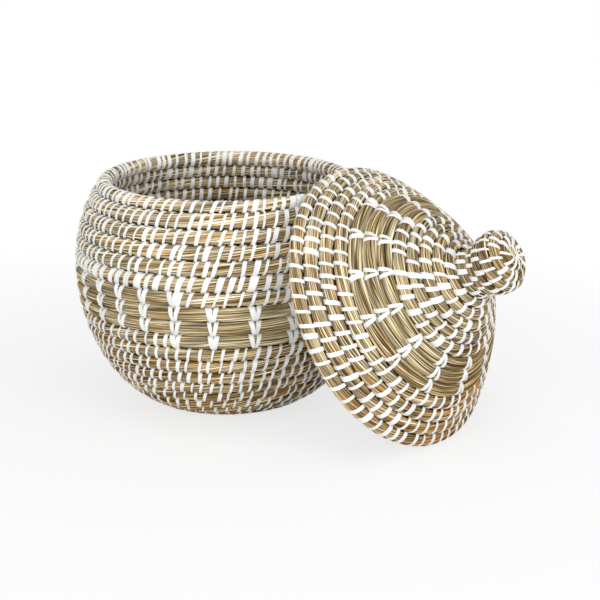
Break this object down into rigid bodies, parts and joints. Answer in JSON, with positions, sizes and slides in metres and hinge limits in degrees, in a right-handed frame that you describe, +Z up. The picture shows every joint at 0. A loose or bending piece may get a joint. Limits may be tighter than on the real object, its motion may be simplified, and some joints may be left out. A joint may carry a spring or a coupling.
{
  "type": "coiled lidded basket",
  "caption": "Pot-bellied coiled grass basket with a bare stitched band and a loose conical lid with a knob, lid off and leaning on it; holds small household things.",
  "frame": {"origin": "middle of the basket's base, on the flat that it stands on", "axes": "+Z up along the basket's axis; -Y faces the viewer; the lid leans at the +X, -Y side"},
  "size_m": [0.4224, 0.3543, 0.2424],
  "materials": {
    "wrapped_bundle": "matte",
    "bare_bundle": "matte",
    "binding_strip": "satin"
  },
  "bodies": {
    "basket": {"base_coil": "wrapped_bundle", "lower_wall_coil": "wrapped_bundle", "band_coil": "bare_bundle", "upper_wall_coil": "wrapped_bundle", "band_stitch_01": "binding_strip", "band_stitch_02": "binding_strip", "band_stitch_03": "binding_strip", "band_stitch_04": "binding_strip", "band_stitch_05": "binding_strip", "band_stitch_06": "binding_strip", "band_stitch_07": "binding_strip", "band_stitch_08": "binding_strip", "band_stitch_09": "binding_strip", "band_stitch_10": "binding_strip", "band_stitch_11": "binding_strip", "band_stitch_12": "binding_strip", "band_stitch_13": "binding_strip", "band_stitch_14": "binding_strip", "band_stitch_15": "binding_strip", "band_stitch_16": "binding_strip", "band_stitch_17": "binding_strip", "band_stitch_18": "binding_strip", "band_stitch_19": "binding_strip", "band_stitch_20": "binding_strip", "band_stitch_21": "binding_strip", "band_stitch_22": "binding_strip", "band_stitch_23": "binding_strip", "band_stitch_24": "binding_strip", "band_stitch_25": "binding_strip", "band_stitch_26": "binding_strip", "band_stitch_27": "binding_strip", "band_stitch_28": "binding_strip"},
    "lid": {"knob_coil": "wrapped_bundle", "lid_crown_coil": "wrapped_bundle", "lid_band_coil": "bare_bundle", "lid_edge_coil": "wrapped_bundle", "lid_band_stitch_01": "binding_strip", "lid_band_stitch_02": "binding_strip", "lid_band_stitch_03": "binding_strip", "lid_band_stitch_04": "binding_strip", "lid_band_stitch_05": "binding_strip", "lid_band_stitch_06": "binding_strip", "lid_band_stitch_07": "binding_strip", "lid_band_stitch_08": "binding_strip", "lid_band_stitch_09": "binding_strip", "lid_band_stitch_10": "binding_strip", "lid_band_stitch_11": "binding_strip", "lid_band_stitch_12": "binding_strip", "lid_band_stitch_13": "binding_strip", "lid_band_stitch_14": "binding_strip"}
  },
  "joints": [
    {"name": "lid_lift", "type": "slide", "parent": "basket", "child": "lid", "axis": [0, 0, 1], "range_m": [0, 0.25]}
  ]
}
